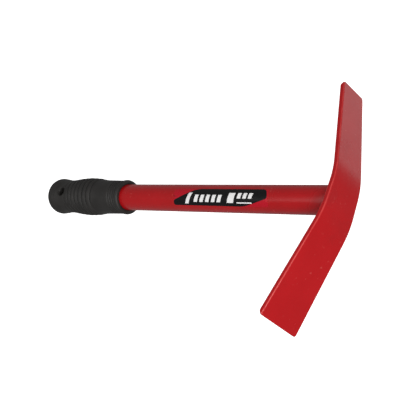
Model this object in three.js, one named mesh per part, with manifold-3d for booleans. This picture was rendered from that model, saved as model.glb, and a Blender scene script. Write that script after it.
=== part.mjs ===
// A short-handled grub hoe: a bent, tapered steel blade welded across the end of a steel tube, a rubber
// grip pushed over the other end of the tube, and a decal on the tube. Millimetres and degrees.
//
// Every piece is drawn in the tool's own axes. +X runs along the handle towards the blade, +Z runs up the
// blade towards its narrow end, and Y runs across the blade. The handle's axis is the X axis, and it meets
// the blade's front face at the origin. The last function lays the finished tool on its side.

import * as THREE from 'three';
import { mergeVertices } from 'three/addons/utils/BufferGeometryUtils.js';
import Module from 'manifold-3d';

const FIT_GAP = 0.3; // between pieces that touch
const ROUND_SIDES = 40; // flats round the tube, the weld and the grip

// Blade: one strip of plate with two soft bends that run straight across it.
const PLATE = 5;
const NARROW_END = 33.9; // width across the upper end
const WIDE_END = 54; // width across the cutting end
const UPPER_WING = 103.9; // from the upper bend's corner to the narrow end
const LOWER_WING = 110.1; // from the lower bend's corner to the cutting edge
const AXIS_TO_UPPER_BEND = 22.3;
const AXIS_TO_LOWER_BEND = 20.8;
const UPPER_LEAN = 17.5; // the upper wing leans back over the handle
const MIDDLE_LEAN = 2.6; // the head sits a little back on the handle
const LOWER_LEAN = -13.5; // the lower wing leans back the other way
const BEND_RADIUS = 100; // to the front face
const BEVEL_LENGTH = 3.5; // ground on the handle side of both ends
const EDGE_LAND = 2.4; // thickness left at the two end faces
const CORNER_RADIUS = 2.5;

// Handle tube and its weld.
const TUBE_OD = 28.6;
const TUBE_WALL = 2;
const TUBE_START = -385.5; // the end inside the grip
const WELD_LEG = 5;

// Grip: a moulded sleeve with a mushroom end, a ribbed swell, a plain waist and a flared lip.
const GRIP_END = -429.4; // crown of the domed end
const DOME_RADIUS = 20.7;
const DOME_DEPTH = 16;
const LIP_X = -297.4; // mouth of the sleeve
const LIP_RADIUS = 19.3;
const LIP_ROUNDING = 3; // of the lip's front edge
const RIB_MIDDLE = -358.1;
const RIB_PITCH = 7.26;
const RIB_COUNT = 6;
const RIB_DEPTH = 1.3;
const FINE_START = -312.4; // deepest point of the first fine ring
const FINE_PITCH = 4.2;
const FINE_COUNT = 4;
const FINE_DEPTH = 0.35;
const MOUTH_CHAMFER = 0.5;
const HOLE_X = -397.2; // hanging hole, through the neck behind the end of the tube
const HOLE_DIAMETER = 9.2;
const HOLE_CLOCK = 189.2; // direction of the hole about the handle, from +Y towards +Z

// Decal: a thin printed patch that wraps part of the way round the tube.
const LABEL_START = -210.5;
const LABEL_LENGTH = 130.4;
const LABEL_THICKNESS = 0.3;
const LABEL_CLOCK_LOW = 164.8;
const LABEL_CLOCK_HIGH = 238.2;

const COATED_STEEL = { color: 0xb01e26, roughness: 0.32, metalness: 0 };
const RUBBER = { color: 0x302f2e, roughness: 0.62, metalness: 0 };
const PRINTED_FILM = { color: 0x1c1a1c, roughness: 0.4, metalness: 0 };

const wasm = await Module();
wasm.setup();

const rad = THREE.MathUtils.degToRad;

// A closed three.js geometry as a solid that can be joined and cut.
function solidOf(geometry) {
  const bare = geometry.clone();
  bare.deleteAttribute('normal');
  bare.deleteAttribute('uv');
  const merged = mergeVertices(bare, 1e-4);
  return new wasm.Manifold(
    new wasm.Mesh({
      numProp: 3,
      vertProperties: merged.attributes.position.array,
      triVerts: new Uint32Array(merged.index.array),
    }),
  );
}

function geometryOf(solid) {
  const { vertProperties, triVerts } = solid.getMesh();
  const geometry = new THREE.BufferGeometry();
  geometry.setAttribute('position', new THREE.BufferAttribute(vertProperties, 3));
  geometry.setIndex(new THREE.BufferAttribute(triVerts, 1));
  geometry.computeVertexNormals();
  return geometry;
}

function piece(name, geometry, finish) {
  const mesh = new THREE.Mesh(geometry, new THREE.MeshStandardMaterial(finish));
  mesh.name = name;
  return mesh;
}

// Turns (x, radius) points round the handle's axis.
function turned(points) {
  const profile = points.map(([x, radius]) => new THREE.Vector2(radius, x));
  return new THREE.LatheGeometry(profile, ROUND_SIDES).rotateZ(-Math.PI / 2);
}

// Extrudes a shape drawn in X and Z across the whole blade.
function acrossBlade(shape) {
  const depth = 2 * WIDE_END;
  const geometry = new THREE.ExtrudeGeometry(shape, { depth, bevelEnabled: false, curveSegments: 8 });
  return geometry.translate(0, 0, -depth / 2).rotateX(Math.PI / 2);
}

// Extrudes a shape drawn in Y and Z along the handle, from x = start.
function alongHandle(shape, start, length) {
  const geometry = new THREE.ExtrudeGeometry(shape, { depth: length, bevelEnabled: false, curveSegments: 8 });
  const axes = new THREE.Matrix4().makeBasis(
    new THREE.Vector3(0, 1, 0),
    new THREE.Vector3(0, 0, 1),
    new THREE.Vector3(1, 0, 0),
  );
  return geometry.applyMatrix4(axes).translate(start, 0, 0);
}

// The front face's normal and its direction up the blade, where it leans back by an angle.
const normalAt = (lean) => new THREE.Vector2(Math.cos(rad(lean)), Math.sin(rad(lean)));
const upwardAt = (lean) => new THREE.Vector2(-Math.sin(rad(lean)), Math.cos(rad(lean)));

// Corner points and bend centres of the front face's side view, as (x, z).
function bladeLine() {
  const along = upwardAt(MIDDLE_LEAN);
  const inward = normalAt(MIDDLE_LEAN).multiplyScalar(-BEND_RADIUS);
  const upperCorner = along.clone().multiplyScalar(AXIS_TO_UPPER_BEND);
  const lowerCorner = along.clone().multiplyScalar(-AXIS_TO_LOWER_BEND);
  const upperCut = BEND_RADIUS * Math.tan(rad(UPPER_LEAN - MIDDLE_LEAN) / 2);
  const lowerCut = BEND_RADIUS * Math.tan(rad(MIDDLE_LEAN - LOWER_LEAN) / 2);
  return {
    top: upperCorner.clone().addScaledVector(upwardAt(UPPER_LEAN), UPPER_WING),
    bottom: lowerCorner.clone().addScaledVector(upwardAt(LOWER_LEAN), -LOWER_WING),
    upperCentre: upperCorner.clone().addScaledVector(along, -upperCut).add(inward),
    lowerCentre: lowerCorner.clone().addScaledVector(along, lowerCut).add(inward),
  };
}

const LINE = bladeLine();
const SIDE_TAPER = Math.atan((WIDE_END - NARROW_END) / 2 / (LINE.top.y - LINE.bottom.y));

// Side view of the strip between two depths below the front face: front may be negative, to stand proud.
function stripShape(front, back, bevel) {
  const bends = [
    [LINE.upperCentre, rad(UPPER_LEAN), rad(MIDDLE_LEAN)],
    [LINE.lowerCentre, rad(MIDDLE_LEAN), rad(LOWER_LEAN)],
  ];
  const below = (point, lean, depth) => point.clone().addScaledVector(normalAt(lean), -depth);
  const topFront = below(LINE.top, UPPER_LEAN, front);
  const bottomFront = below(LINE.bottom, LOWER_LEAN, front);
  const topBack = below(LINE.top, UPPER_LEAN, back);
  const bottomBack = below(LINE.bottom, LOWER_LEAN, back);
  const shape = new THREE.Shape();
  if (bevel) {
    const heel = topBack.clone().addScaledVector(upwardAt(UPPER_LEAN), -BEVEL_LENGTH);
    const land = below(LINE.top, UPPER_LEAN, EDGE_LAND);
    shape.moveTo(heel.x, heel.y).lineTo(land.x, land.y);
  } else {
    shape.moveTo(topBack.x, topBack.y);
  }
  shape.lineTo(topFront.x, topFront.y);
  for (const [centre, from, to] of bends) {
    shape.absarc(centre.x, centre.y, BEND_RADIUS - front, from, to, true);
  }
  shape.lineTo(bottomFront.x, bottomFront.y);
  if (bevel) {
    const land = below(LINE.bottom, LOWER_LEAN, EDGE_LAND);
    const heel = bottomBack.clone().addScaledVector(upwardAt(LOWER_LEAN), BEVEL_LENGTH);
    shape.lineTo(land.x, land.y).lineTo(heel.x, heel.y);
  } else {
    shape.lineTo(bottomBack.x, bottomBack.y);
  }
  for (const [centre, from, to] of bends.reverse()) {
    shape.absarc(centre.x, centre.y, BEND_RADIUS - back, to, from, false);
  }
  shape.closePath();
  return shape;
}

// Front view of the blade: a tapered strip with rounded corners, as (y, z).
function bladeOutline() {
  const shape = new THREE.Shape();
  const corners = [
    [WIDE_END / 2, LINE.bottom.y],
    [NARROW_END / 2, LINE.top.y],
    [-NARROW_END / 2, LINE.top.y],
    [-WIDE_END / 2, LINE.bottom.y],
  ].map(([y, z]) => new THREE.Vector2(y, z));
  corners.forEach((corner, i) => {
    const before = corners[(i + 3) % 4];
    const after = corners[(i + 1) % 4];
    const from = corner.clone().lerp(before, CORNER_RADIUS / corner.distanceTo(before));
    const to = corner.clone().lerp(after, CORNER_RADIUS / corner.distanceTo(after));
    if (i === 0) shape.moveTo(from.x, from.y);
    else shape.lineTo(from.x, from.y);
    shape.quadraticCurveTo(corner.x, corner.y, to.x, to.y);
  });
  shape.closePath();
  return shape;
}

function blade() {
  const strip = solidOf(acrossBlade(stripShape(0, PLATE, true)));
  const outline = solidOf(alongHandle(bladeOutline(), -80, 160));
  return piece('blade', geometryOf(strip.intersect(outline)), COATED_STEEL);
}

// What the blade takes from anything that meets its back face, with the fitting gap.
function copeCutter() {
  return solidOf(acrossBlade(stripShape(-30, PLATE + FIT_GAP, false)));
}

function handleTube() {
  const outer = TUBE_OD / 2;
  const inner = outer - TUBE_WALL;
  const stock = turned([[TUBE_START, inner], [TUBE_START, outer], [0, outer], [0, inner], [TUBE_START, inner]]);
  return piece('handle_tube', geometryOf(solidOf(stock).subtract(copeCutter())), COATED_STEEL);
}

function weldBead() {
  const inner = TUBE_OD / 2 + FIT_GAP;
  const outer = inner + WELD_LEG;
  const toe = -PLATE - WELD_LEG;
  const ring = [[toe, inner], [toe + 0.2, inner + 0.6], [-PLATE - 0.8, outer - 0.4], [-PLATE, outer]];
  const stock = turned([...ring, [0, outer], [0, inner], [toe, inner]]);
  return piece('weld_bead', geometryOf(solidOf(stock).subtract(copeCutter())), COATED_STEEL);
}

// The sleeve's outer radius before any ring is cut, as a smooth line through its few turning points.
const GRIP_BODY = new THREE.SplineCurve(
  [
    [GRIP_END + DOME_DEPTH, DOME_RADIUS],
    [-408, 20.2],
    [-402.5, 19.25],
    [-397, 18.95],
    [-389.5, 19.1],
    [-377, 20.5],
    [-366.5, 21.25],
    [-358.5, 21.45],
    [-345.5, 20.75],
    [-335, 19.2],
    [-320, 18.75],
    [-306, 18.6],
    [-302.6, 18.9],
    [LIP_X - LIP_ROUNDING, LIP_RADIUS],
  ].map(([x, radius]) => new THREE.Vector2(x, radius)),
);

// A ring's depth at x: deepest in the middle of each ring, and nothing beyond the first and the last.
function ringDepth(x, first, pitch, count, depth) {
  const phase = (x - first) / pitch;
  if (phase < -0.5 || phase > count - 0.5) return 0;
  return depth * Math.cos(Math.PI * (phase - Math.round(phase))) ** 4;
}

function gripOutside() {
  const points = [];
  const domeSteps = 8;
  for (let i = 0; i < domeSteps; i += 1) {
    const angle = (i / domeSteps) * (Math.PI / 2);
    const x = GRIP_END + DOME_DEPTH * (1 - Math.cos(angle));
    points.push([x, DOME_RADIUS * Math.sin(angle)]);
  }
  const firstRib = RIB_MIDDLE - ((RIB_COUNT - 1) / 2) * RIB_PITCH;
  for (const { x, y: radius } of GRIP_BODY.getPoints(64)) {
    const ribs = ringDepth(x, firstRib, RIB_PITCH, RIB_COUNT, RIB_DEPTH);
    const fine = ringDepth(x, FINE_START, FINE_PITCH, FINE_COUNT, FINE_DEPTH);
    points.push([x, radius - ribs - fine]);
  }
  const lipSteps = 4;
  for (let i = 1; i <= lipSteps; i += 1) {
    const angle = (i / lipSteps) * (Math.PI / 2);
    const x = LIP_X - LIP_ROUNDING * (1 - Math.sin(angle));
    points.push([x, LIP_RADIUS - LIP_ROUNDING * (1 - Math.cos(angle))]);
  }
  return points;
}

function grip() {
  const bore = TUBE_OD / 2 + FIT_GAP;
  const inside = [[LIP_X, bore + MOUTH_CHAMFER], [LIP_X - MOUTH_CHAMFER, bore], [TUBE_START - 0.5, bore]];
  const sleeve = solidOf(turned([...gripOutside(), ...inside, [TUBE_START - 0.5, 0]]));
  const drill = new THREE.CylinderGeometry(HOLE_DIAMETER / 2, HOLE_DIAMETER / 2, 4 * DOME_RADIUS, 24);
  drill.rotateX(rad(HOLE_CLOCK)).translate(HOLE_X, 0, 0);
  return piece('grip', geometryOf(sleeve.subtract(solidOf(drill))), RUBBER);
}

function label() {
  const inner = TUBE_OD / 2 + FIT_GAP;
  const shape = new THREE.Shape();
  shape.absarc(0, 0, inner + LABEL_THICKNESS, rad(LABEL_CLOCK_LOW), rad(LABEL_CLOCK_HIGH), false);
  shape.absarc(0, 0, inner, rad(LABEL_CLOCK_HIGH), rad(LABEL_CLOCK_LOW), true);
  shape.closePath();
  return piece('label', alongHandle(shape, LABEL_START, LABEL_LENGTH), PRINTED_FILM);
}

// Lays the tool on the flat side of its blade, with the middle of its box over the origin.
function laidOnItsSide(pieces) {
  const tool = new THREE.Group();
  tool.add(...pieces);
  tool.rotation.x = -(Math.PI / 2 + SIDE_TAPER);
  const hoe = new THREE.Group();
  hoe.add(tool);
  hoe.updateMatrixWorld(true);
  const box = new THREE.Box3().setFromObject(hoe, true);
  const middle = box.getCenter(new THREE.Vector3());
  hoe.position.set(-middle.x, -middle.y, -box.min.z);
  return hoe;
}

export default laidOnItsSide([blade(), handleTube(), weldBead(), grip(), label()]);
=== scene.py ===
"""Looks of a short-handled grub hoe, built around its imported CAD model.

Lengths inside the piece builders are millimetres in the tool's own axes: +X runs along the handle towards
the blade, +Z runs up the blade towards its narrow end, Y runs across it, and the handle's axis meets the
blade's front face at the origin. place() takes them to metres in the row frame.
"""

import math

import bpy
import numpy as np
from mathutils import Matrix, Vector, geometry


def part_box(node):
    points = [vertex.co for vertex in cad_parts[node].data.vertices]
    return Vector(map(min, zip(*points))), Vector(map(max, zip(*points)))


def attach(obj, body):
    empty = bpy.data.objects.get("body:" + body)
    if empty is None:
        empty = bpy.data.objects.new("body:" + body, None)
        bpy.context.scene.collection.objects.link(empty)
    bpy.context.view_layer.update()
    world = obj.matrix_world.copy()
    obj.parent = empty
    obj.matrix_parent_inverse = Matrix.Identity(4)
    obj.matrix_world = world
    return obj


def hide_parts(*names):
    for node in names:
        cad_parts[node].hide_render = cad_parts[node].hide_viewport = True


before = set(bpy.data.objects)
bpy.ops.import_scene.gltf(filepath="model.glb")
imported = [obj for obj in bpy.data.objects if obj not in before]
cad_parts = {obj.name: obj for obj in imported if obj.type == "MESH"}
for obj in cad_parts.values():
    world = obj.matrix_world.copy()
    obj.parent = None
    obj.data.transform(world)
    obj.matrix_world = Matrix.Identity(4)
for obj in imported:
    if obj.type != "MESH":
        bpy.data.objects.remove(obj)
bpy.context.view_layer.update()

# ---------------------------------------------------------------- tool axes to the row frame
TOOL_LENGTH = 429.4  # from the blade's front face, on the axis, to the crown of the grip
NARROW_END, WIDE_END = 33.9, 54.0
UPPER_WING, LOWER_WING = 103.9, 110.1
AXIS_TO_UPPER_BEND, AXIS_TO_LOWER_BEND = 22.3, 20.8
UPPER_LEAN, MIDDLE_LEAN, LOWER_LEAN = 17.5, 2.6, -13.5
BEND_RADIUS = 100.0
PLATE = 5.0
EDGE_LAND = 2.4
BEVEL_LENGTH = 3.5

grip_low, grip_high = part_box("grip")
# Where the handle's axis meets the blade's front face, in the row frame.
AXIS_POINT = Vector(
    (
        grip_low.x + TOOL_LENGTH / 1000,
        (grip_low.y + grip_high.y) / 2,
        (grip_low.z + grip_high.z) / 2,
    )
)


def upward(lean):
    """The way up a wing (x, z) that leans towards the grip by that many degrees."""
    a = math.radians(lean)
    return np.array([-math.sin(a), math.cos(a)])


def outward(lean):
    """The way out of the front face (x, z) of a wing that leans by that many degrees."""
    a = math.radians(lean)
    return np.array([math.cos(a), math.sin(a)])


UPPER_CORNER = AXIS_TO_UPPER_BEND * upward(MIDDLE_LEAN)
LOWER_CORNER = -AXIS_TO_LOWER_BEND * upward(MIDDLE_LEAN)
TOP = UPPER_CORNER + UPPER_WING * upward(UPPER_LEAN)
BOTTOM = LOWER_CORNER - LOWER_WING * upward(LOWER_LEAN)
TAPER = (WIDE_END - NARROW_END) / 2 / (TOP[1] - BOTTOM[1])
ROLL = -(math.pi / 2 + math.atan(TAPER))


def place(points):
    """Tool axes in millimetres to the row frame in metres."""
    p = np.asarray(points, dtype=float) / 1000
    c, s = math.cos(ROLL), math.sin(ROLL)
    x = p[:, 0] + AXIS_POINT.x
    y = p[:, 1] * c - p[:, 2] * s + AXIS_POINT.y
    z = p[:, 1] * s + p[:, 2] * c + AXIS_POINT.z
    return np.stack([x, y, z], axis=1)


def signed_volume(mesh):
    """Volume of a closed mesh, negative if its faces point in."""
    mesh.calc_loop_triangles()
    corners = np.array([[mesh.vertices[i].co for i in t.vertices] for t in mesh.loop_triangles])
    return np.einsum("ij,ij->", corners[:, 0], np.cross(corners[:, 1], corners[:, 2])) / 6


def make_mesh(name, points, faces, materials, slots=None):
    """A smooth-shaded mesh object from points in tool axes."""
    mesh = bpy.data.meshes.new(name)
    mesh.from_pydata([tuple(v) for v in place(points)], [], [tuple(int(i) for i in f) for f in faces])
    for material in materials:
        mesh.materials.append(material)
    if slots is not None:
        mesh.polygons.foreach_set("material_index", np.asarray(slots, dtype=np.int32))
    mesh.polygons.foreach_set("use_smooth", np.ones(len(mesh.polygons), dtype=bool))
    mesh.validate()
    if signed_volume(mesh) < 0:
        mesh.flip_normals()
    mesh.update()
    obj = bpy.data.objects.new(name, mesh)
    bpy.context.scene.collection.objects.link(obj)
    return obj


def weighted_normals(obj):
    """Keeps flat faces flat next to their rounded edges."""
    modifier = obj.modifiers.new("flat_faces_stay_flat", "WEIGHTED_NORMAL")
    modifier.mode = "FACE_AREA"
    modifier.weight = 60
    return modifier


def grid_faces(rows, columns):
    """Quads between rows of points that each go round a closed ring."""
    faces = []
    for i in range(rows - 1):
        for j in range(columns):
            k = (j + 1) % columns
            faces.append((i * columns + j, i * columns + k, (i + 1) * columns + k, (i + 1) * columns + j))
    return faces


# ---------------------------------------------------------------- materials
class Nodes:
    """Short calls for building one material's node tree."""

    def __init__(self, name):
        self.material = bpy.data.materials.new(name)
        self.material.use_nodes = True
        self.tree = self.material.node_tree
        self.shader = next(n for n in self.tree.nodes if n.type == "BSDF_PRINCIPLED")
        self.position = self.add("ShaderNodeTexCoord").outputs["Object"]

    def add(self, kind, **values):
        node = self.tree.nodes.new(kind)
        for key, value in values.items():
            setattr(node, key, value)
        return node

    def link(self, source, target):
        self.tree.links.new(source, target)

    def noise(self, scale, detail=2.0, roughness=0.5):
        node = self.add("ShaderNodeTexNoise")
        node.inputs["Scale"].default_value = scale
        node.inputs["Detail"].default_value = detail
        node.inputs["Roughness"].default_value = roughness
        self.link(self.position, node.inputs["Vector"])
        return node.outputs["Fac"]

    def spread(self, source, low, high, to_low=0.0, to_high=1.0, smooth=False):
        node = self.add("ShaderNodeMapRange")
        if smooth:
            node.interpolation_type = "SMOOTHSTEP"
        node.inputs["From Min"].default_value = low
        node.inputs["From Max"].default_value = high
        node.inputs["To Min"].default_value = to_low
        node.inputs["To Max"].default_value = to_high
        self.link(source, node.inputs["Value"])
        return node.outputs["Result"]

    def blend(self, factor, first, second):
        """Mixes from the first colour to the second. The first may be a socket."""
        node = self.add("ShaderNodeMix", data_type="RGBA")
        if isinstance(first, bpy.types.NodeSocket):
            self.link(first, node.inputs["A"])
        else:
            node.inputs["A"].default_value = (*first, 1.0)
        node.inputs["B"].default_value = (*second, 1.0)
        self.link(factor, node.inputs["Factor"])
        return node.outputs["Result"]

    def product(self, first, second):
        node = self.add("ShaderNodeMath", operation="MULTIPLY")
        self.link(first, node.inputs[0])
        self.link(second, node.inputs[1])
        return node.outputs["Value"]

    def bump(self, heights):
        """Stacks bumps given as (height socket, strength, distance in metres)."""
        normal = None
        for height, strength, distance in heights:
            node = self.add("ShaderNodeBump")
            node.inputs["Strength"].default_value = strength
            node.inputs["Distance"].default_value = distance
            self.link(height, node.inputs["Height"])
            if normal is not None:
                self.link(normal, node.inputs["Normal"])
            normal = node.outputs["Normal"]
        self.link(normal, self.shader.inputs["Normal"])


# Colours in linear light.
COAT, COAT_LIGHT = (0.450, 0.0044, 0.0071), (0.480, 0.0052, 0.0083)
COAT_THUMBED = (0.34, 0.0085, 0.0100)
COAT_SCUFFED = (0.60, 0.075, 0.065)
# A lighter coat colour that paints the highlight along the blade's rounded long edges.
COAT_PAINTED_HIGHLIGHT = (0.60, 0.052, 0.050)
RUBBER_DARK, RUBBER_LIGHT = (0.0165, 0.0152, 0.0140), (0.0260, 0.0238, 0.0222)
COAT_IOR, RUBBER_IOR, FILM_IOR = 1.42, 1.42, 1.32


def powder_coat():
    """Semi-gloss red powder coat: orange peel, thumbed patches, pale scuffs, and a painted highlight along
    the rounded edges in a lighter coat colour.
    """
    n = Nodes("powder_coat")
    colour = n.blend(n.spread(n.noise(38, 3.0), 0.35, 0.65), COAT, COAT_LIGHT)
    thumbed = n.noise(16, 4.0, 0.6)
    colour = n.blend(n.spread(thumbed, 0.56, 0.74, 0.0, 0.45, True), colour, COAT_THUMBED)
    colour = n.blend(n.spread(n.noise(240, 2.0), 0.69, 0.76, 0.0, 0.5), colour, COAT_SCUFFED)
    # Painted highlight: a lighter coat colour along the rounded long edges, broken up by noise.
    edge = n.add("ShaderNodeAttribute", attribute_name="edge").outputs["Fac"]
    painted_highlight = n.product(edge, n.spread(n.noise(85, 4.0), 0.32, 0.58, 0.35, 1.0))
    colour = n.blend(painted_highlight, colour, COAT_PAINTED_HIGHLIGHT)
    n.link(colour, n.shader.inputs["Base Color"])
    n.link(n.spread(thumbed, 0.35, 0.7, 0.2, 0.3), n.shader.inputs["Roughness"])
    n.shader.inputs["IOR"].default_value = COAT_IOR
    n.bump([(n.noise(150, 0.0), 0.4, 0.00008), (n.noise(620, 1.0), 0.45, 0.00004)])
    return n.material


def grip_rubber():
    """Satin black rubber with a fine moulded grain and faint handling marks."""
    n = Nodes("grip_rubber")
    colour = n.blend(n.spread(n.noise(55, 4.0), 0.3, 0.7), RUBBER_DARK, RUBBER_LIGHT)
    n.link(colour, n.shader.inputs["Base Color"])
    n.link(n.spread(n.noise(120, 4.0), 0.3, 0.7, 0.46, 0.58), n.shader.inputs["Roughness"])
    n.shader.inputs["IOR"].default_value = RUBBER_IOR
    n.bump([(n.noise(500, 1.0), 0.3, 0.00006), (n.noise(1500, 0.0), 0.3, 0.00003)])
    return n.material


def film(name, dark, light, roughness):
    """Printed film: flat ink with a faint mottle and the fine grain of its laminate."""
    n = Nodes(name)
    colour = n.blend(n.spread(n.noise(420, 3.0), 0.3, 0.7), dark, light)
    n.link(colour, n.shader.inputs["Base Color"])
    gloss = n.spread(n.noise(160, 2.0), 0.3, 0.7, roughness - 0.03, roughness + 0.05)
    n.link(gloss, n.shader.inputs["Roughness"])
    n.shader.inputs["IOR"].default_value = FILM_IOR
    n.bump([(n.noise(700, 0.0), 0.2, 0.00002)])
    return n.material


RED_COAT = powder_coat()
RUBBER = grip_rubber()
BLACK_INK = film("label_black", (0.0040, 0.0034, 0.0042), (0.0056, 0.0050, 0.0058), 0.26)
RED_INK = film("label_red", (0.50, 0.005, 0.017), (0.53, 0.006, 0.020), 0.26)
WHITE_INK = film("label_white", (0.93, 0.92, 0.92), (0.97, 0.96, 0.96), 0.3)


# ---------------------------------------------------------------- blade
EDGE_RADIUS = 1.3  # of the coated plate's long edges
END_RADIUS = 0.7  # of the edges round its two end faces
CORNER_RADIUS = 2.5  # of its four corners, seen from the front
BEVEL_BLEND = 0.9  # how softly a bevel runs into the full plate
ARC_STEPS = 6  # of each rounded long edge
FLAT_POINTS = 25  # across the front, and across the back, between the rounded edges
SIDE_SHARES = (0.33, 0.67)  # points on each narrow side, as shares of its height
BACK_ROW = FLAT_POINTS + 2 * (ARC_STEPS + 1) + len(SIDE_SHARES)  # a ring's first point on the back
EDGE_PAINTED_HIGHLIGHT = [0.0, 0.5, 0.9, 1.0, 0.9, 0.5, 0.0]  # how much of the painted highlight each point round one long edge gets
# Rings near an end, by distance from it: close together round the end's edge and along the bevel.
END_STATIONS = [0.0, 0.02, 0.07, 0.16, 0.28, 0.42, 0.56, 0.7, 0.95, 1.25, 1.6, 2.0, 2.4, 2.7]
END_STATIONS += [2.95, 3.15, 3.35, 3.55, 3.75, 4.0, 4.3, 4.8, 6.0]
MIDDLE_START, MIDDLE_COUNT = 8.0, 100  # of the evenly spaced rings between the ends


def blade_runs():
    """The front face's side view, from the narrow end down, as runs of (length, first lean, last lean)."""
    upper_cut = BEND_RADIUS * math.tan(math.radians(UPPER_LEAN - MIDDLE_LEAN) / 2)
    lower_cut = BEND_RADIUS * math.tan(math.radians(MIDDLE_LEAN - LOWER_LEAN) / 2)
    return [
        (UPPER_WING - upper_cut, UPPER_LEAN, UPPER_LEAN),
        (math.radians(UPPER_LEAN - MIDDLE_LEAN) * BEND_RADIUS, UPPER_LEAN, MIDDLE_LEAN),
        (AXIS_TO_UPPER_BEND + AXIS_TO_LOWER_BEND - upper_cut - lower_cut, MIDDLE_LEAN, MIDDLE_LEAN),
        (math.radians(MIDDLE_LEAN - LOWER_LEAN) * BEND_RADIUS, MIDDLE_LEAN, LOWER_LEAN),
        (LOWER_WING - lower_cut, LOWER_LEAN, LOWER_LEAN),
    ]


def blade_point(distance):
    """Front-face point (x, z) and lean at a distance down from the narrow end."""
    point = TOP.copy()
    for length, first, last in blade_runs():
        step = min(distance, length)
        if first == last:
            point = point - step * upward(first)
            lean = first
        else:
            lean = first + (last - first) * step / length
            point = point + BEND_RADIUS * (outward(lean) - outward(first))
        distance -= step
        if distance <= 1e-9:
            break
    return point, lean


BLADE_LENGTH = sum(run[0] for run in blade_runs())


def half_width(z):
    """Half the blade's width at a height z."""
    return NARROW_END / 2 + (TOP[1] - z) * TAPER


def quarter_inset(distance, radius):
    """How far a rounded edge of that radius stands in, at a distance from its end."""
    if distance >= radius:
        return 0.0
    return radius - math.sqrt(max(radius**2 - (radius - distance) ** 2, 0.0))


def soft_minimum(a, b, width):
    """The lower of two numbers, rounded where they cross."""
    mix = min(max(0.5 + 0.5 * (b - a) / width, 0.0), 1.0)
    return b * (1 - mix) + a * mix - width * mix * (1 - mix) / 2


def blade_ring(distance):
    """The blade's rounded section at a distance down from the narrow end, as points all round it."""
    point, lean = blade_point(distance)
    to_end = min(distance, BLADE_LENGTH - distance)
    bevelled = EDGE_LAND + (PLATE - EDGE_LAND) * to_end / BEVEL_LENGTH
    thickness = soft_minimum(bevelled, PLATE, BEVEL_BLEND)
    end = quarter_inset(to_end, END_RADIUS)
    edge = max(min(EDGE_RADIUS, thickness * 0.42) - end, 0.05)
    half = half_width(point[1]) - quarter_inset(to_end, CORNER_RADIUS) - end
    front, back = end, thickness - end
    ring = []
    arc = [i / ARC_STEPS * math.pi / 2 for i in range(ARC_STEPS + 1)]
    across = np.linspace(-1, 1, FLAT_POINTS + 2)[1:-1]
    for c in across:
        ring.append((c * (half - edge), front))
    for a in arc:
        ring.append((half - edge + edge * math.sin(a), front + edge * (1 - math.cos(a))))
    for c in SIDE_SHARES:
        ring.append((half, front + edge + c * (back - front - 2 * edge)))
    for a in arc:
        ring.append((half - edge + edge * math.cos(a), back - edge + edge * math.sin(a)))
    for c in across[::-1]:
        ring.append((c * (half - edge), back))
    for a in arc:
        ring.append((-(half - edge) - edge * math.sin(a), back - edge + edge * math.cos(a)))
    for c in SIDE_SHARES[::-1]:
        ring.append((-half, front + edge + c * (back - front - 2 * edge)))
    for a in arc:
        ring.append((-(half - edge) - edge * math.cos(a), front + edge - edge * math.sin(a)))
    out = []
    normal = outward(lean)
    for y, depth in ring:
        x, z = point - depth * normal
        shift = (half_width(z) - half_width(point[1])) * y / half
        out.append((x, y + shift, z))
    return out


def end_cap(first, columns):
    """Faces that close one end of the blade: strips from front to back, and its two rounded sides."""
    back_row = first + BACK_ROW
    faces = []
    for j in range(FLAT_POINTS - 1):
        back = back_row + FLAT_POINTS - 1 - j
        faces.append((first + j, first + j + 1, back - 1, back))
    faces.append(tuple(range(first + FLAT_POINTS - 1, back_row + 1)))
    faces.append((*range(back_row + FLAT_POINTS - 1, first + columns), first))
    return faces


def blade():
    stations = [*END_STATIONS, *np.linspace(MIDDLE_START, BLADE_LENGTH - MIDDLE_START, MIDDLE_COUNT)]
    stations += [BLADE_LENGTH - d for d in END_STATIONS[::-1]]
    rings = [blade_ring(s) for s in stations]
    columns = len(rings[0])
    points = [p for ring in rings for p in ring]
    faces = grid_faces(len(rings), columns)
    faces += [face[::-1] for face in end_cap(0, columns)]
    faces += end_cap((len(rings) - 1) * columns, columns)
    obj = make_mesh("hoe_blade", points, faces, [RED_COAT])
    flat = [0.0] * FLAT_POINTS
    side = [0.0] * len(SIDE_SHARES)
    # How much painted highlight each point gets: some on the rounded long edges, none on the flat faces.
    around = (flat + EDGE_PAINTED_HIGHLIGHT + side + EDGE_PAINTED_HIGHLIGHT) * 2
    edge = obj.data.attributes.new("edge", "FLOAT", "POINT")
    edge.data.foreach_set("value", np.array(around * len(rings), dtype=np.float32))
    weighted_normals(obj)
    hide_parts("blade")
    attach(obj, "root")
    return obj


def back_face_x(z):
    """X of the blade's back face at a height z, found on its side view."""
    low, high = 0.0, BLADE_LENGTH
    for _ in range(40):
        middle = (low + high) / 2
        point, lean = blade_point(middle)
        if (point - PLATE * outward(lean))[1] > z:
            low = middle
        else:
            high = middle
    point, lean = blade_point(low)
    return (point - PLATE * outward(lean))[0]


# ---------------------------------------------------------------- handle tube and weld
TUBE_RADIUS, TUBE_BORE = 14.3, 12.3
TUBE_START = -385.5
TUBE_SIDES, TUBE_ROWS = 128, 24
OUTER_CHAMFER, INNER_CHAMFER = 0.5, 0.4  # of the tube's end inside the grip
HEAD_GAP = 0.05  # between the tube's coped end and the blade


def round_row(x, radius, angles):
    """A ring of points round the handle's axis."""
    return [(x, radius * math.cos(a), radius * math.sin(a)) for a in angles]


def coped_rows(radius, first, shares, angles):
    """Rings from x = first to the back of the blade, at shares of the way there."""
    ends = [back_face_x(radius * math.sin(a)) - HEAD_GAP for a in angles]
    rows = []
    for t in shares:
        row = []
        for a, end in zip(angles, ends):
            row.append((first + (end - first) * t, radius * math.cos(a), radius * math.sin(a)))
        rows.append(row)
    return rows


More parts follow.
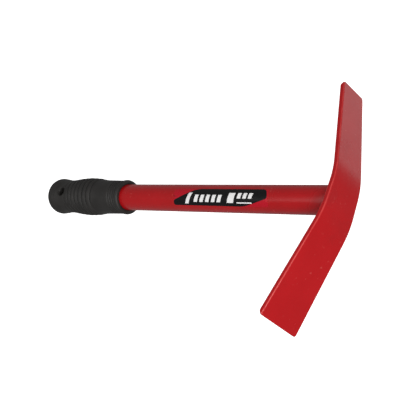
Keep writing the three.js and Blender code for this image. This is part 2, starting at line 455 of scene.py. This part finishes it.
def handle_tube():
    angles = np.linspace(0, 2 * math.pi, TUBE_SIDES, endpoint=False)
    shares = np.linspace(0, 1, TUBE_ROWS)
    rows = [
        round_row(TUBE_START, TUBE_BORE + INNER_CHAMFER, angles),
        round_row(TUBE_START, TUBE_RADIUS - OUTER_CHAMFER, angles),
        round_row(TUBE_START + OUTER_CHAMFER, TUBE_RADIUS, angles),
    ]
    rows += coped_rows(TUBE_RADIUS, TUBE_START + OUTER_CHAMFER, shares[1:], angles)
    rows += coped_rows(TUBE_BORE, TUBE_START + INNER_CHAMFER, shares[::-1], angles)
    points = [p for row in rows for p in row]
    faces = grid_faces(len(rows), TUBE_SIDES)
    last = (len(rows) - 1) * TUBE_SIDES
    for j in range(TUBE_SIDES):
        k = (j + 1) % TUBE_SIDES
        faces.append((last + j, last + k, k, j))
    faces = [f[::-1] for f in faces]
    obj = make_mesh("hoe_handle_tube", points, faces, [RED_COAT])
    weighted_normals(obj)
    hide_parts("handle_tube")
    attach(obj, "root")
    return obj


WELD_LEG_TUBE, WELD_LEG_PLATE = 4.4, 4.3
WELD_BULGE, WELD_RIPPLE = 0.75, 0.28
WELD_SIDES, WELD_STEPS, WELD_RIPPLES = 400, 14, 38
WELD_ROOT = -0.5  # how far the bead reaches into the blade's back
WELD_INNER = -0.6  # and into the tube's wall
BACK_REACH, BACK_STEPS = 24, 20  # mm each side of the axis, and samples of the back face per mm


def weld_profile(a):
    """The bead's section at an angle, as (distance from the blade's back, distance from the tube)."""
    uneven = 0.25 * math.sin(3 * a + 0.7) + 0.18 * math.sin(7 * a + 2.1) + 0.1 * math.sin(13 * a)
    leg_tube = WELD_LEG_TUBE + uneven
    leg_plate = WELD_LEG_PLATE + 0.8 * uneven
    profile = [(WELD_ROOT, WELD_INNER), (leg_tube, WELD_INNER)]
    for j in range(WELD_STEPS + 1):
        t = j / WELD_STEPS
        bulge = WELD_BULGE * math.sin(math.pi * t)
        lag = 2.2 * (t - 0.5) ** 2
        phase = (a / (2 * math.pi) * WELD_RIPPLES + lag) % 1.0
        ripple = WELD_RIPPLE * (phase**0.6 - 0.5) * math.sin(math.pi * t) ** 0.7
        lift = (bulge + ripple) / math.sqrt(2)
        profile.append((leg_tube * (1 - t) + lift, leg_plate * t + lift))
    profile.append((WELD_ROOT, leg_plate))
    return profile


def weld_bead():
    """A fillet run round the tube with overlapping ripples, a little uneven like hand welding."""
    back_x = [back_face_x(i / BACK_STEPS - BACK_REACH) for i in range(2 * BACK_REACH * BACK_STEPS + 1)]
    rows = []
    for i in range(WELD_SIDES):
        a = 2 * math.pi * i / WELD_SIDES
        row = []
        for from_plate, from_tube in weld_profile(a):
            radius = TUBE_RADIUS + from_tube
            z = radius * math.sin(a)
            x = back_x[int(round((z + BACK_REACH) * BACK_STEPS))] - from_plate
            row.append((x, radius * math.cos(a), z))
        rows.append(row)
    columns = len(rows[0])
    points = [p for row in rows for p in row]
    faces = []
    for i in range(WELD_SIDES):
        k = (i + 1) % WELD_SIDES
        for j in range(columns):
            m = (j + 1) % columns
            faces.append((i * columns + j, k * columns + j, k * columns + m, i * columns + m))
    obj = make_mesh("hoe_weld_bead", points, faces, [RED_COAT])
    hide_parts("weld_bead")
    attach(obj, "root")
    return obj


# ---------------------------------------------------------------- grip
GRIP_END = -429.4
DOME_RADIUS, DOME_DEPTH = 20.7, 16.0
LIP_X, LIP_RADIUS, LIP_ROUNDING = -297.4, 19.2, 2.6
RIB_START, RIB_PITCH, RIB_COUNT = -391.9, 6.93, 8  # creases between the ribs, from the neck on
RIB_DEPTH, RIB_FALL, RIB_DEEPEST = 2.1, 0.085, 4.6  # the creases get shallower away from the deepest one
FINE_START, FINE_PITCH, FINE_COUNT, FINE_DEPTH = -313.4, 3.7, 4, 0.75
CROWN_START, CROWN_PITCH, CROWN_COUNT, CROWN_DEPTH = -416.0, 6.6, 2, 0.12
CROWN_HALF = 2.6  # half the width of a crown ring


def moulded_rings():
    """Rings moulded into the sleeve, as (x of the deepest point, depth, half width)."""
    rings = []
    for i in range(RIB_COUNT):
        depth = RIB_DEPTH - RIB_FALL * (i - RIB_DEEPEST) ** 2
        rings.append((RIB_START + i * RIB_PITCH, depth, RIB_PITCH / 2))
    for i in range(FINE_COUNT):
        rings.append((FINE_START + i * FINE_PITCH, FINE_DEPTH, FINE_PITCH / 2))
    for i in range(CROWN_COUNT):
        rings.append((CROWN_START + i * CROWN_PITCH, CROWN_DEPTH, CROWN_HALF))
    return rings


GROOVES = moulded_rings()
HOLE_X, HOLE_RADIUS, HOLE_CLOCK = -397.2, 4.7, math.radians(189.2)
HOLE_FLARE, HOLE_STRAIGHT, HOLE_REACH = 0.8, 16.9, 24.0  # mouth, half length up to it, and of the cutter
HOLE_SIDES = 64
CREASE, CREASE_DEPTH = 0.5, 0.8  # half width of the slit in each crease, and how much deeper it goes
CREASE_STATIONS = (0.0, 0.15, 0.3, 0.45, 0.6, 0.8)  # rows each side of a crease, by distance from it
EVEN_STEP, EVEN_CLEARANCE = 0.4, 0.95  # the rows between them, and how near to a crease they come
GRIP_SIDES = 144
BORE_CLEARANCE = 0.05
# The sleeve's outline without its rings, as (x, radius), from the dome to the lip.
GRIP_TURNING_POINTS = [
    (GRIP_END + DOME_DEPTH, DOME_RADIUS),
    (-408, 20.2),
    (-402.5, 19.25),
    (-397, 18.95),
    (-389.5, 19.1),
    (-377, 20.5),
    (-366.5, 21.25),
    (-358.5, 21.45),
    (-345.5, 20.75),
    (-335, 19.2),
    (-320, 18.75),
    (-306, 18.6),
    (-302.6, 18.9),
    (LIP_X - LIP_ROUNDING, LIP_RADIUS),
]


def spline(points, count):
    """A smooth line through points, evenly stepped from point to point."""
    p = np.array([points[0], *points, points[-1]], dtype=float)
    out = []
    spans = len(points) - 1
    for i in range(count + 1):
        t = i / count * spans
        k = min(int(t), spans - 1)
        u = t - k
        a, b, c, d = p[k], p[k + 1], p[k + 2], p[k + 3]
        v0, v1 = (c - a) / 2, (d - b) / 2
        out.append((2 * b - 2 * c + v0 + v1) * u**3 + (-3 * b + 3 * c - 2 * v0 - v1) * u**2 + v0 * u + b)
    return np.array(out)


def groove_depth(x):
    """Depth of the moulded rings at x: round-topped ribs that meet in a sharp crease."""
    total = 0.0
    for middle, depth, half in GROOVES:
        reach = abs(x - middle)
        if reach < half:
            total += depth * (1 - reach / half) ** 2
        if reach < CREASE:
            total += CREASE_DEPTH * min(depth, 1.0) * (1 - reach / CREASE)
    return total


def sleeve_stations():
    """Where the sleeve has rows of points: evenly spaced, and close together round each crease."""
    first, last = GRIP_END + DOME_DEPTH, LIP_X - LIP_ROUNDING
    middles = [middle for middle, *_ in GROOVES]
    stations = []
    for x in np.arange(first, last, EVEN_STEP):
        if min(abs(x - middle) for middle in middles) > EVEN_CLEARANCE:
            stations.append(x)
    for middle in middles:
        for reach in CREASE_STATIONS:
            stations += [middle - reach, middle + reach]
    return np.array(sorted({round(float(x), 3) for x in stations if first <= x < last}))


def grip_profile():
    """The sleeve's half section as (x, radius): dome, ribbed outside, lip, bore and closed end."""
    body = spline(GRIP_TURNING_POINTS, 700)
    outside = []
    for i in range(1, 40):
        angle = i / 40 * math.pi / 2
        x = GRIP_END + DOME_DEPTH * (1 - math.cos(angle))
        outside.append((x, DOME_RADIUS * math.sin(angle)))
    stations = sleeve_stations()
    outside += list(zip(stations, np.interp(stations, body[:, 0], body[:, 1])))
    profile = [(x, radius - groove_depth(x)) for x, radius in outside]
    for i in range(11):
        a = i / 10 * math.pi / 2
        x = LIP_X - LIP_ROUNDING + LIP_ROUNDING * math.sin(a)
        profile.append((x, LIP_RADIUS - LIP_ROUNDING * (1 - math.cos(a))))
    bore = TUBE_RADIUS + BORE_CLEARANCE
    profile += [(LIP_X, 15.6), (LIP_X - 0.05, 15.0), (LIP_X - 0.25, 14.6), (LIP_X - 0.7, bore)]
    profile += [(LIP_X - 2.0, bore)]
    profile += [(x, bore) for x in np.linspace(LIP_X - 10, TUBE_START - 0.5, 12)]
    profile += [(TUBE_START - 0.5, radius) for radius in (10.0, 5.0)]
    return profile


def grip():
    profile = grip_profile()
    angles = np.linspace(0, 2 * math.pi, GRIP_SIDES, endpoint=False)
    points = [(GRIP_END, 0.0, 0.0)]
    for x, radius in profile:
        points += [(x, radius * math.cos(a), radius * math.sin(a)) for a in angles]
    points.append((TUBE_START - 0.5, 0.0, 0.0))
    faces = []
    for j in range(GRIP_SIDES):
        k = (j + 1) % GRIP_SIDES
        faces.append((0, 1 + j, 1 + k))
    for quad in grid_faces(len(profile), GRIP_SIDES):
        faces.append(tuple(1 + i for i in quad[::-1]))
    last = 1 + (len(profile) - 1) * GRIP_SIDES
    for j in range(GRIP_SIDES):
        k = (j + 1) % GRIP_SIDES
        faces.append((last + k, last + j, len(points) - 1))
    obj = make_mesh("hoe_grip", points, faces, [RUBBER])
    drill = hanging_hole()
    modifier = obj.modifiers.new("hanging_hole", "BOOLEAN")
    modifier.operation = "DIFFERENCE"
    modifier.solver = "EXACT"
    modifier.object = drill
    deps = bpy.context.evaluated_depsgraph_get()
    cut = bpy.data.meshes.new_from_object(obj.evaluated_get(deps))
    obj.modifiers.clear()
    obj.data = cut
    bpy.data.objects.remove(drill)
    cut.polygons.foreach_set("use_smooth", np.ones(len(cut.polygons), dtype=bool))
    weighted_normals(obj)
    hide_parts("grip")
    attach(obj, "root")
    return obj


def hanging_hole():
    """The cutter of the hanging hole: straight, with a soft flare where it leaves the neck."""
    half_profile = [(s, HOLE_RADIUS) for s in np.linspace(0, HOLE_STRAIGHT, 18)]
    for i in range(1, 9):
        a = i / 8 * math.pi / 2
        radius = HOLE_RADIUS + HOLE_FLARE * (1 - math.cos(a))
        half_profile.append((HOLE_STRAIGHT + HOLE_FLARE * math.sin(a), radius))
    half_profile.append((HOLE_REACH, HOLE_RADIUS + HOLE_FLARE))
    profile = [(-s, r) for s, r in half_profile[::-1][:-1]] + half_profile
    middle = np.array([HOLE_X, 0.0, 0.0])
    along = np.array([1.0, 0.0, 0.0])
    direction = np.array([0, math.cos(HOLE_CLOCK), math.sin(HOLE_CLOCK)])
    side = np.array([0, -math.sin(HOLE_CLOCK), math.cos(HOLE_CLOCK)])
    points = []
    for s, r in profile:
        for j in range(HOLE_SIDES):
            a = 2 * math.pi * j / HOLE_SIDES
            around = math.cos(a) * along + math.sin(a) * side
            points.append(middle + s * direction + r * around)
    faces = [f[::-1] for f in grid_faces(len(profile), HOLE_SIDES)]
    last = (len(profile) - 1) * HOLE_SIDES
    faces.append(tuple(range(HOLE_SIDES)))
    faces.append(tuple(range(last, last + HOLE_SIDES))[::-1])
    return make_mesh("hanging_hole_cutter", points, faces, [RUBBER])


# ---------------------------------------------------------------- label
LABEL_START, LABEL_END = -210.5, -80.1
LABEL_LOW, LABEL_HIGH = -8.0, 10.4
LABEL_CLOCK = math.radians(207.44)
FILM = 0.12
FILM_SINK = 0.05  # how far the film's underside sits in the tube
GRID_ACROSS, GRID_ALONG = 0.7, 6.0  # the film bends round the tube at lines this far apart
BLACK, RED, WHITE = 0, 1, 2  # the label's material slots
# The black field's corners (x, height) with how much of each is rounded off.
FIELD = [
    ((LABEL_START, -7.5), 1.8),
    ((-112.0, -7.95), 7.0),
    ((-80.2, 0.9), 3.6),
    ((-83.6, LABEL_HIGH), 4.6),
    ((-178.0, LABEL_HIGH), 8.0),
    ((LABEL_START, -2.2), 2.2),
]
# Rows of slanted white bars: (start, pitch, how many, width, foot, head, slant).
BAR_ROWS = [
    (-191.2, 0.0, 1, 5.0, -5.6, 6.0, 0.5),
    (-179.8, 8.2, 5, 5.0, -3.7, 3.8, 0.35),
    (-133.0, 0.0, 1, 8.6, -4.2, 5.9, 0.3),
    (-120.6, 7.4, 3, 4.8, 0.3, 5.9, 0.3),
    (-119.6, 0.0, 1, 20.0, -4.6, -3.4, 0.3),
]


def rounded(corners, radii, steps=6):
    """A polygon with its corners rounded."""
    out = []
    count = len(corners)
    for i, corner in enumerate(corners):
        here = np.array(corner, dtype=float)
        before = np.array(corners[i - 1], dtype=float) - here
        after = np.array(corners[(i + 1) % count], dtype=float) - here
        radius = radii[i]
        if radius <= 0:
            out.append(tuple(here))
            continue
        p = here + before / np.linalg.norm(before) * radius
        q = here + after / np.linalg.norm(after) * radius
        for s in range(steps + 1):
            t = s / steps
            out.append(tuple((1 - t) ** 2 * p + 2 * t * (1 - t) * here + t**2 * q))
    return out


def inside(point, polygon):
    """Whether a point is inside a polygon."""
    x, y = point
    hit = False
    for i in range(len(polygon)):
        x1, y1 = polygon[i - 1]
        x2, y2 = polygon[i]
        if (y1 > y) != (y2 > y) and x < (x2 - x1) * (y - y1) / (y2 - y1) + x1:
            hit = not hit
    return hit


def bar(x0, x1, v0, v1, slant):
    """A slanted bar between two heights."""
    return [(x0 + slant * v0, v0), (x1 + slant * v0, v0), (x1 + slant * v1, v1), (x0 + slant * v1, v1)]


def label_shapes():
    """Outline of the film, its black field and a plain row of slanted white bars."""
    corners = [
        (LABEL_START, LABEL_LOW),
        (LABEL_END, LABEL_LOW),
        (LABEL_END, LABEL_HIGH),
        (LABEL_START, LABEL_HIGH),
    ]
    outline = rounded(corners, [2.0] * 4)
    field = rounded([corner for corner, _ in FIELD], [radius for _, radius in FIELD])
    white = []
    for start, pitch, count, width, foot, head, slant in BAR_ROWS:
        for i in range(count):
            x = start + i * pitch
            white.append(bar(x, x + width, foot, head, slant))
    return outline, field, white


def flat_label():
    """The label laid flat: its points, its triangles and their material slots."""
    outline, field, white = label_shapes()
    coordinates, edges = [], []

    def add_line(points, closed):
        first = len(coordinates)
        coordinates.extend(Vector(p) for p in points)
        for i in range(len(points) if closed else len(points) - 1):
            edges.append((first + i, first + (i + 1) % len(points)))

    for loop in (outline, field, *white):
        add_line(loop, True)
    inset = 0.001
    for v in np.arange(LABEL_LOW + 0.3, LABEL_HIGH, GRID_ACROSS):
        add_line([(LABEL_START + inset, v), (LABEL_END - inset, v)], False)
    for x in np.arange(LABEL_START + GRID_ALONG, LABEL_END, GRID_ALONG):
        add_line([(x, LABEL_LOW + inset), (x, LABEL_HIGH - inset)], False)
    flat, _, triangles, *_ = geometry.delaunay_2d_cdt(coordinates, edges, [], 0, 1e-4)
    flat = [tuple(p) for p in flat]
    kept, slots = [], []
    for triangle in triangles:
        centre = tuple(np.mean([flat[i] for i in triangle], axis=0))
        if not inside(centre, outline):
            continue
        kept.append(tuple(triangle))
        if any(inside(centre, shape) for shape in white):
            slots.append(WHITE)
        else:
            slots.append(BLACK if inside(centre, field) else RED)
    return flat, kept, slots


def label():
    flat, triangles, slots = flat_label()
    used = sorted({i for t in triangles for i in t})
    index = {old: new for new, old in enumerate(used)}
    count = len(used)
    points = []
    for radius in (TUBE_RADIUS + FILM, TUBE_RADIUS - FILM_SINK):
        for old in used:
            x, v = flat[old]
            a = LABEL_CLOCK - v / TUBE_RADIUS
            points.append((x, radius * math.cos(a), radius * math.sin(a)))
    faces, face_slots = [], []
    border = {}
    for triangle, slot in zip(triangles, slots):
        ids = [index[i] for i in triangle]
        faces.append(tuple(ids[::-1]))
        face_slots.append(slot)
        faces.append(tuple(i + count for i in ids))
        face_slots.append(BLACK)
        for i in range(3):
            border[ids[i], ids[(i + 1) % 3]] = slot
    for (a, b), slot in border.items():
        if (b, a) not in border:
            faces.append((a, b, b + count, a + count))
            face_slots.append(slot)
    obj = make_mesh("hoe_label", points, faces, [BLACK_INK, RED_INK, WHITE_INK], face_slots)
    weighted_normals(obj)
    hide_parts("label")
    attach(obj, "root")
    return obj


blade()
handle_tube()
weld_bead()
grip()
label()

# ---------------------------------------------------------------- floor, light and camera
scene = bpy.context.scene
scene.view_settings.view_transform = "Standard"
scene.view_settings.look = "None"

# The camera in the tool's own axes, in millimetres: where it stands, what it is aimed at and which way is up.
EYE = (605, -698, -364)
AIM = (-97, -61.6, -44.2)
UP = (-0.018, -0.465, 0.885)
LENS = 92.3


def turned(direction):
    """A direction in tool axes as one in the row frame."""
    ends = place([(0, 0, 0), [1000 * v for v in direction]])
    return Vector(ends[1] - ends[0]).normalized()


FORWARD = turned(np.subtract(AIM, EYE))


FLOOR_HALF, FLOOR_DROP = 4.0, 0.0003  # in metres: half its side, and how far it lies under the tool


def floor():
    """A plain floor that glows white, so it shows no shadow. It neither lights nor shades the tool."""
    mesh = bpy.data.meshes.new("floor")
    corners = [(x * FLOOR_HALF, y * FLOOR_HALF, 0) for x, y in ((-1, -1), (1, -1), (1, 1), (-1, 1))]
    mesh.from_pydata(corners, [], [(0, 1, 2, 3)])
    material = bpy.data.materials.new("pale_floor")
    material.use_nodes = True
    tree = material.node_tree
    shader = next(n for n in tree.nodes if n.type == "BSDF_PRINCIPLED")
    shader.inputs["Base Color"].default_value = (0.9, 0.9, 0.9, 1)
    shader.inputs["Roughness"].default_value = 0.9
    shader.inputs["Specular IOR Level"].default_value = 0.0
    shader.inputs["Emission Color"].default_value = (1, 1, 1, 1)
    shader.inputs["Emission Strength"].default_value = 1.0
    mesh.materials.append(material)
    obj = bpy.data.objects.new("floor", mesh)
    obj.location.z = -FLOOR_DROP
    scene.collection.objects.link(obj)
    obj.visible_glossy = False
    obj.visible_diffuse = False
    obj.visible_shadow = False
    return obj


SURROUND = 0.25  # even light from the white sweep all round the tool


def soft_light(name, direction, distance, size, power):
    """A square light in metres and watts that faces the tool from a direction in the row frame."""
    data = bpy.data.lights.new(name, "AREA")
    data.size = size
    data.energy = power
    obj = bpy.data.objects.new(name, data)
    obj.location = Vector(direction).normalized() * distance
    obj.rotation_euler = (-obj.location).to_track_quat("-Z", "Y").to_euler()
    obj.visible_camera = False
    scene.collection.objects.link(obj)


def studio():
    """A sweep, white to the camera, that lights a little from all sides, and three broad soft lights."""
    world = bpy.data.worlds.new("studio")
    scene.world = world
    world.use_nodes = True
    tree = world.node_tree
    sweep = next(n for n in tree.nodes if n.type == "BACKGROUND")
    sweep.inputs["Color"].default_value = (1, 1, 1, 1)
    path = tree.nodes.new("ShaderNodeLightPath")
    strength = tree.nodes.new("ShaderNodeMapRange")
    strength.inputs["To Min"].default_value = SURROUND
    strength.inputs["To Max"].default_value = 1.0
    tree.links.new(path.outputs["Is Camera Ray"], strength.inputs["Value"])
    tree.links.new(strength.outputs["Result"], sweep.inputs["Strength"])
    # The key faces the blade's front from the camera's side, well off the way that its flat faces mirror.
    soft_light("key", (1.0, -0.5, 0.5), 1.3, 0.9, 13.0)
    # The top light is for the tube and the grip, and meets the blade's front at a glancing angle at most.
    soft_light("top", (-0.2, -0.4, 1.0), 1.4, 1.2, 5.0)
    # The backdrop lies beyond the tool, where the narrow wing mirrors part of it and the wide wing doesn't.
    soft_light("backdrop", (0.1, 0.8, -0.6), 1.5, 1.2, 3.5)


def camera():
    data = bpy.data.cameras.new("camera")
    data.lens = LENS
    data.sensor_width = 36.0
    obj = bpy.data.objects.new("camera", data)
    scene.collection.objects.link(obj)
    back = -FORWARD
    right = turned(UP).cross(back).normalized()
    turn = Matrix((right, back.cross(right), back)).transposed().to_4x4()
    obj.matrix_world = Matrix.Translation(Vector(place([EYE])[0])) @ turn
    scene.camera = obj


floor()
studio()
camera()
